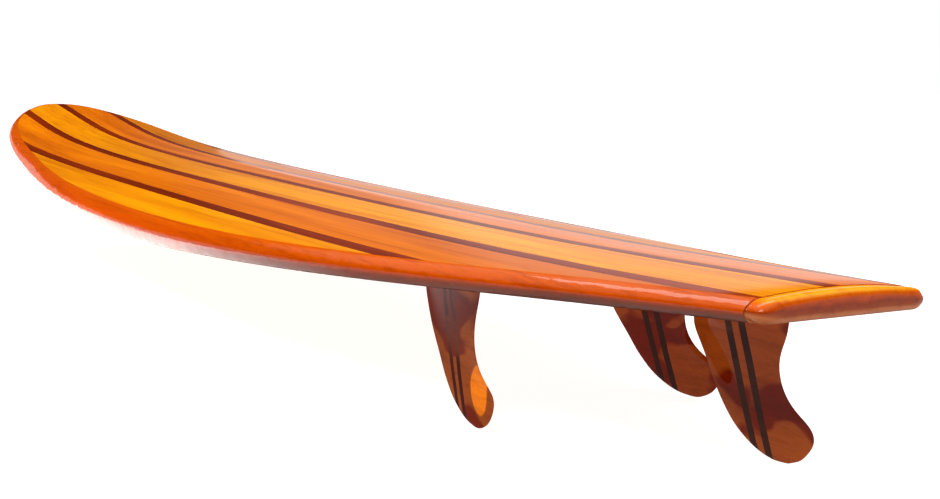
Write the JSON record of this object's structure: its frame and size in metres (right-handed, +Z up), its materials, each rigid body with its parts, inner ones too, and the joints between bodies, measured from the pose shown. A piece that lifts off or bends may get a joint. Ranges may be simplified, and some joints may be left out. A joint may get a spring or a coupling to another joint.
{
  "type": "surfboard",
  "caption": "Hollow wooden surfboard with striped cedar deck, glued rails, square tail, curved-up nose and removable raked wooden fins under a clear gloss finish.",
  "frame": {"origin": "under the middle of the board's length, on its centre line, level with the lowest fin tips", "axes": "+X from tail to nose, +Y to the rider's left, +Z up through the deck, with the middle of the deck level"},
  "size_m": [2.1338, 0.5248, 0.2216],
  "materials": {
    "plank_light": "clear gloss",
    "plank_deep": "clear gloss",
    "stripe_dark": "clear gloss",
    "rail_wood": "clear gloss",
    "frame_wood": "bare",
    "box_plastic": "satin",
    "screw_steel": "satin",
    "nut_brass": "satin",
    "fin_wood": "clear gloss",
    "fin_stripe": "clear gloss",
    "vent_plastic": "gloss",
    "vent_rubber": "matt"
  },
  "bodies": {
    "board": {"bottom_plank_1": "plank_deep", "bottom_plank_2": "plank_light", "bottom_plank_3": "plank_deep", "bottom_plank_4": "plank_light", "bottom_plank_5": "plank_deep", "bottom_plank_6": "plank_light", "bottom_stripe_1": "stripe_dark", "bottom_stripe_2": "stripe_dark", "bottom_stripe_3": "stripe_dark", "bottom_stripe_4": "stripe_dark", "bottom_stripe_5": "stripe_dark", "bottom_tail_piece": "stripe_dark", "deck_plank_1": "plank_deep", "deck_plank_2": "plank_light", "deck_plank_3": "plank_deep", "deck_plank_4": "plank_light", "deck_plank_5": "plank_deep", "deck_plank_6": "plank_light", "deck_stripe_1": "stripe_dark", "deck_stripe_2": "stripe_dark", "deck_stripe_3": "stripe_dark", "deck_stripe_4": "stripe_dark", "deck_stripe_5": "stripe_dark", "fin_block_centre": "frame_wood", "fin_block_left": "frame_wood", "fin_block_right": "frame_wood", "fin_box_centre": "box_plastic", "fin_box_left": "box_plastic", "fin_box_right": "box_plastic", "fin_nuts": "nut_brass", "nose_block": "frame_wood", "rail_left": "rail_wood", "rail_right": "rail_wood", "rib_1": "frame_wood", "rib_2": "frame_wood", "rib_3": "frame_wood", "rib_4": "frame_wood", "spar": "frame_wood", "tail_block": "rail_wood", "vent_insert": "vent_plastic"},
    "fin_left": {"fin_left_front": "fin_wood", "fin_left_middle": "fin_wood", "fin_left_rear": "fin_wood", "fin_left_stripe_front": "fin_stripe", "fin_left_stripe_rear": "fin_stripe", "fin_screw_left": "screw_steel"},
    "fin_right": {"fin_right_front": "fin_wood", "fin_right_middle": "fin_wood", "fin_right_rear": "fin_wood", "fin_right_stripe_front": "fin_stripe", "fin_right_stripe_rear": "fin_stripe", "fin_screw_right": "screw_steel"},
    "fin_centre": {"fin_centre_front": "fin_wood", "fin_centre_middle": "fin_wood", "fin_centre_rear": "fin_wood", "fin_centre_stripe_front": "fin_stripe", "fin_centre_stripe_rear": "fin_stripe", "fin_screw_centre": "screw_steel"},
    "vent": {"vent_plug": "vent_plastic", "vent_seal": "vent_rubber"}
  },
  "joints": [
    {"name": "fin_left_pull", "type": "slide", "parent": "board", "child": "fin_left", "axis": [-0.0584, 0.0269, -0.9979], "range_m": [0, 0.024]},
    {"name": "fin_right_pull", "type": "slide", "parent": "board", "child": "fin_right", "axis": [-0.0584, -0.0269, -0.9979], "range_m": [0, 0.024]},
    {"name": "fin_centre_pull", "type": "slide", "parent": "board", "child": "fin_centre", "axis": [-0.0698, 0, -0.9976], "range_m": [0, 0.024]},
    {"name": "vent_plug_lift", "type": "slide", "parent": "board", "child": "vent", "axis": [0, 0, -1], "range_m": [0, 0.016]}
  ]
}
